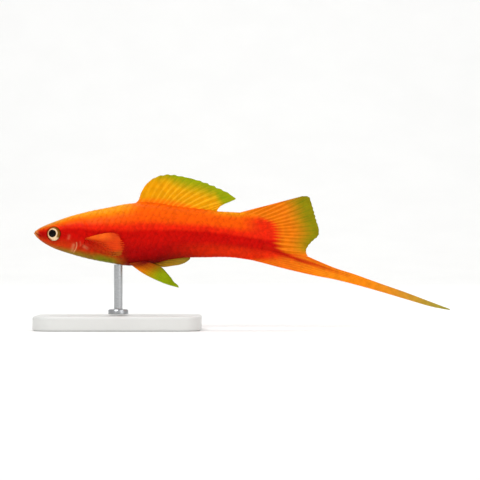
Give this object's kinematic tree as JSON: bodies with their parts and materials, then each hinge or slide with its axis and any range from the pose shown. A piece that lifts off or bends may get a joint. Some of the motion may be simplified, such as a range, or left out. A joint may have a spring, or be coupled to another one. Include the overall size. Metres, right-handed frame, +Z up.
{
  "type": "swordtail fish model",
  "caption": "Life-size still model of a male red swordtail with spread dorsal fin and long lower tail sword, on a small rod stand.",
  "frame": {"origin": "on the floor, under the middle of the whole length from snout tip to sword tip, in the fish's plane of symmetry", "axes": "+X from the snout towards the sword's tip, +Y to the fish's right, +Z up"},
  "size_m": [0.1152, 0.03, 0.0428],
  "materials": {
    "skin": "satin wet skin, orange back, red flank, dark red belly side",
    "fin": "golden orange membrane with olive green edge and raised rays",
    "sword": "orange lower tail rays with olive tip",
    "eye": "glossy, cream iris ring and black pupil",
    "stand_base": "satin white",
    "stand_rod": "fine brushed"
  },
  "bodies": {
    "root": {"head": "skin", "torso": "skin", "tail": "skin", "dorsal_fin": "fin", "caudal_fin": "fin", "sword": "sword", "pectoral_fin_left": "fin", "pectoral_fin_right": "fin", "pelvic_fin_left": "fin", "pelvic_fin_right": "fin", "gonopodium": "fin", "eye_left": "eye", "eye_right": "eye", "stand_base": "stand_base", "stand_rod": "stand_rod"}
  },
  "joints": []
}
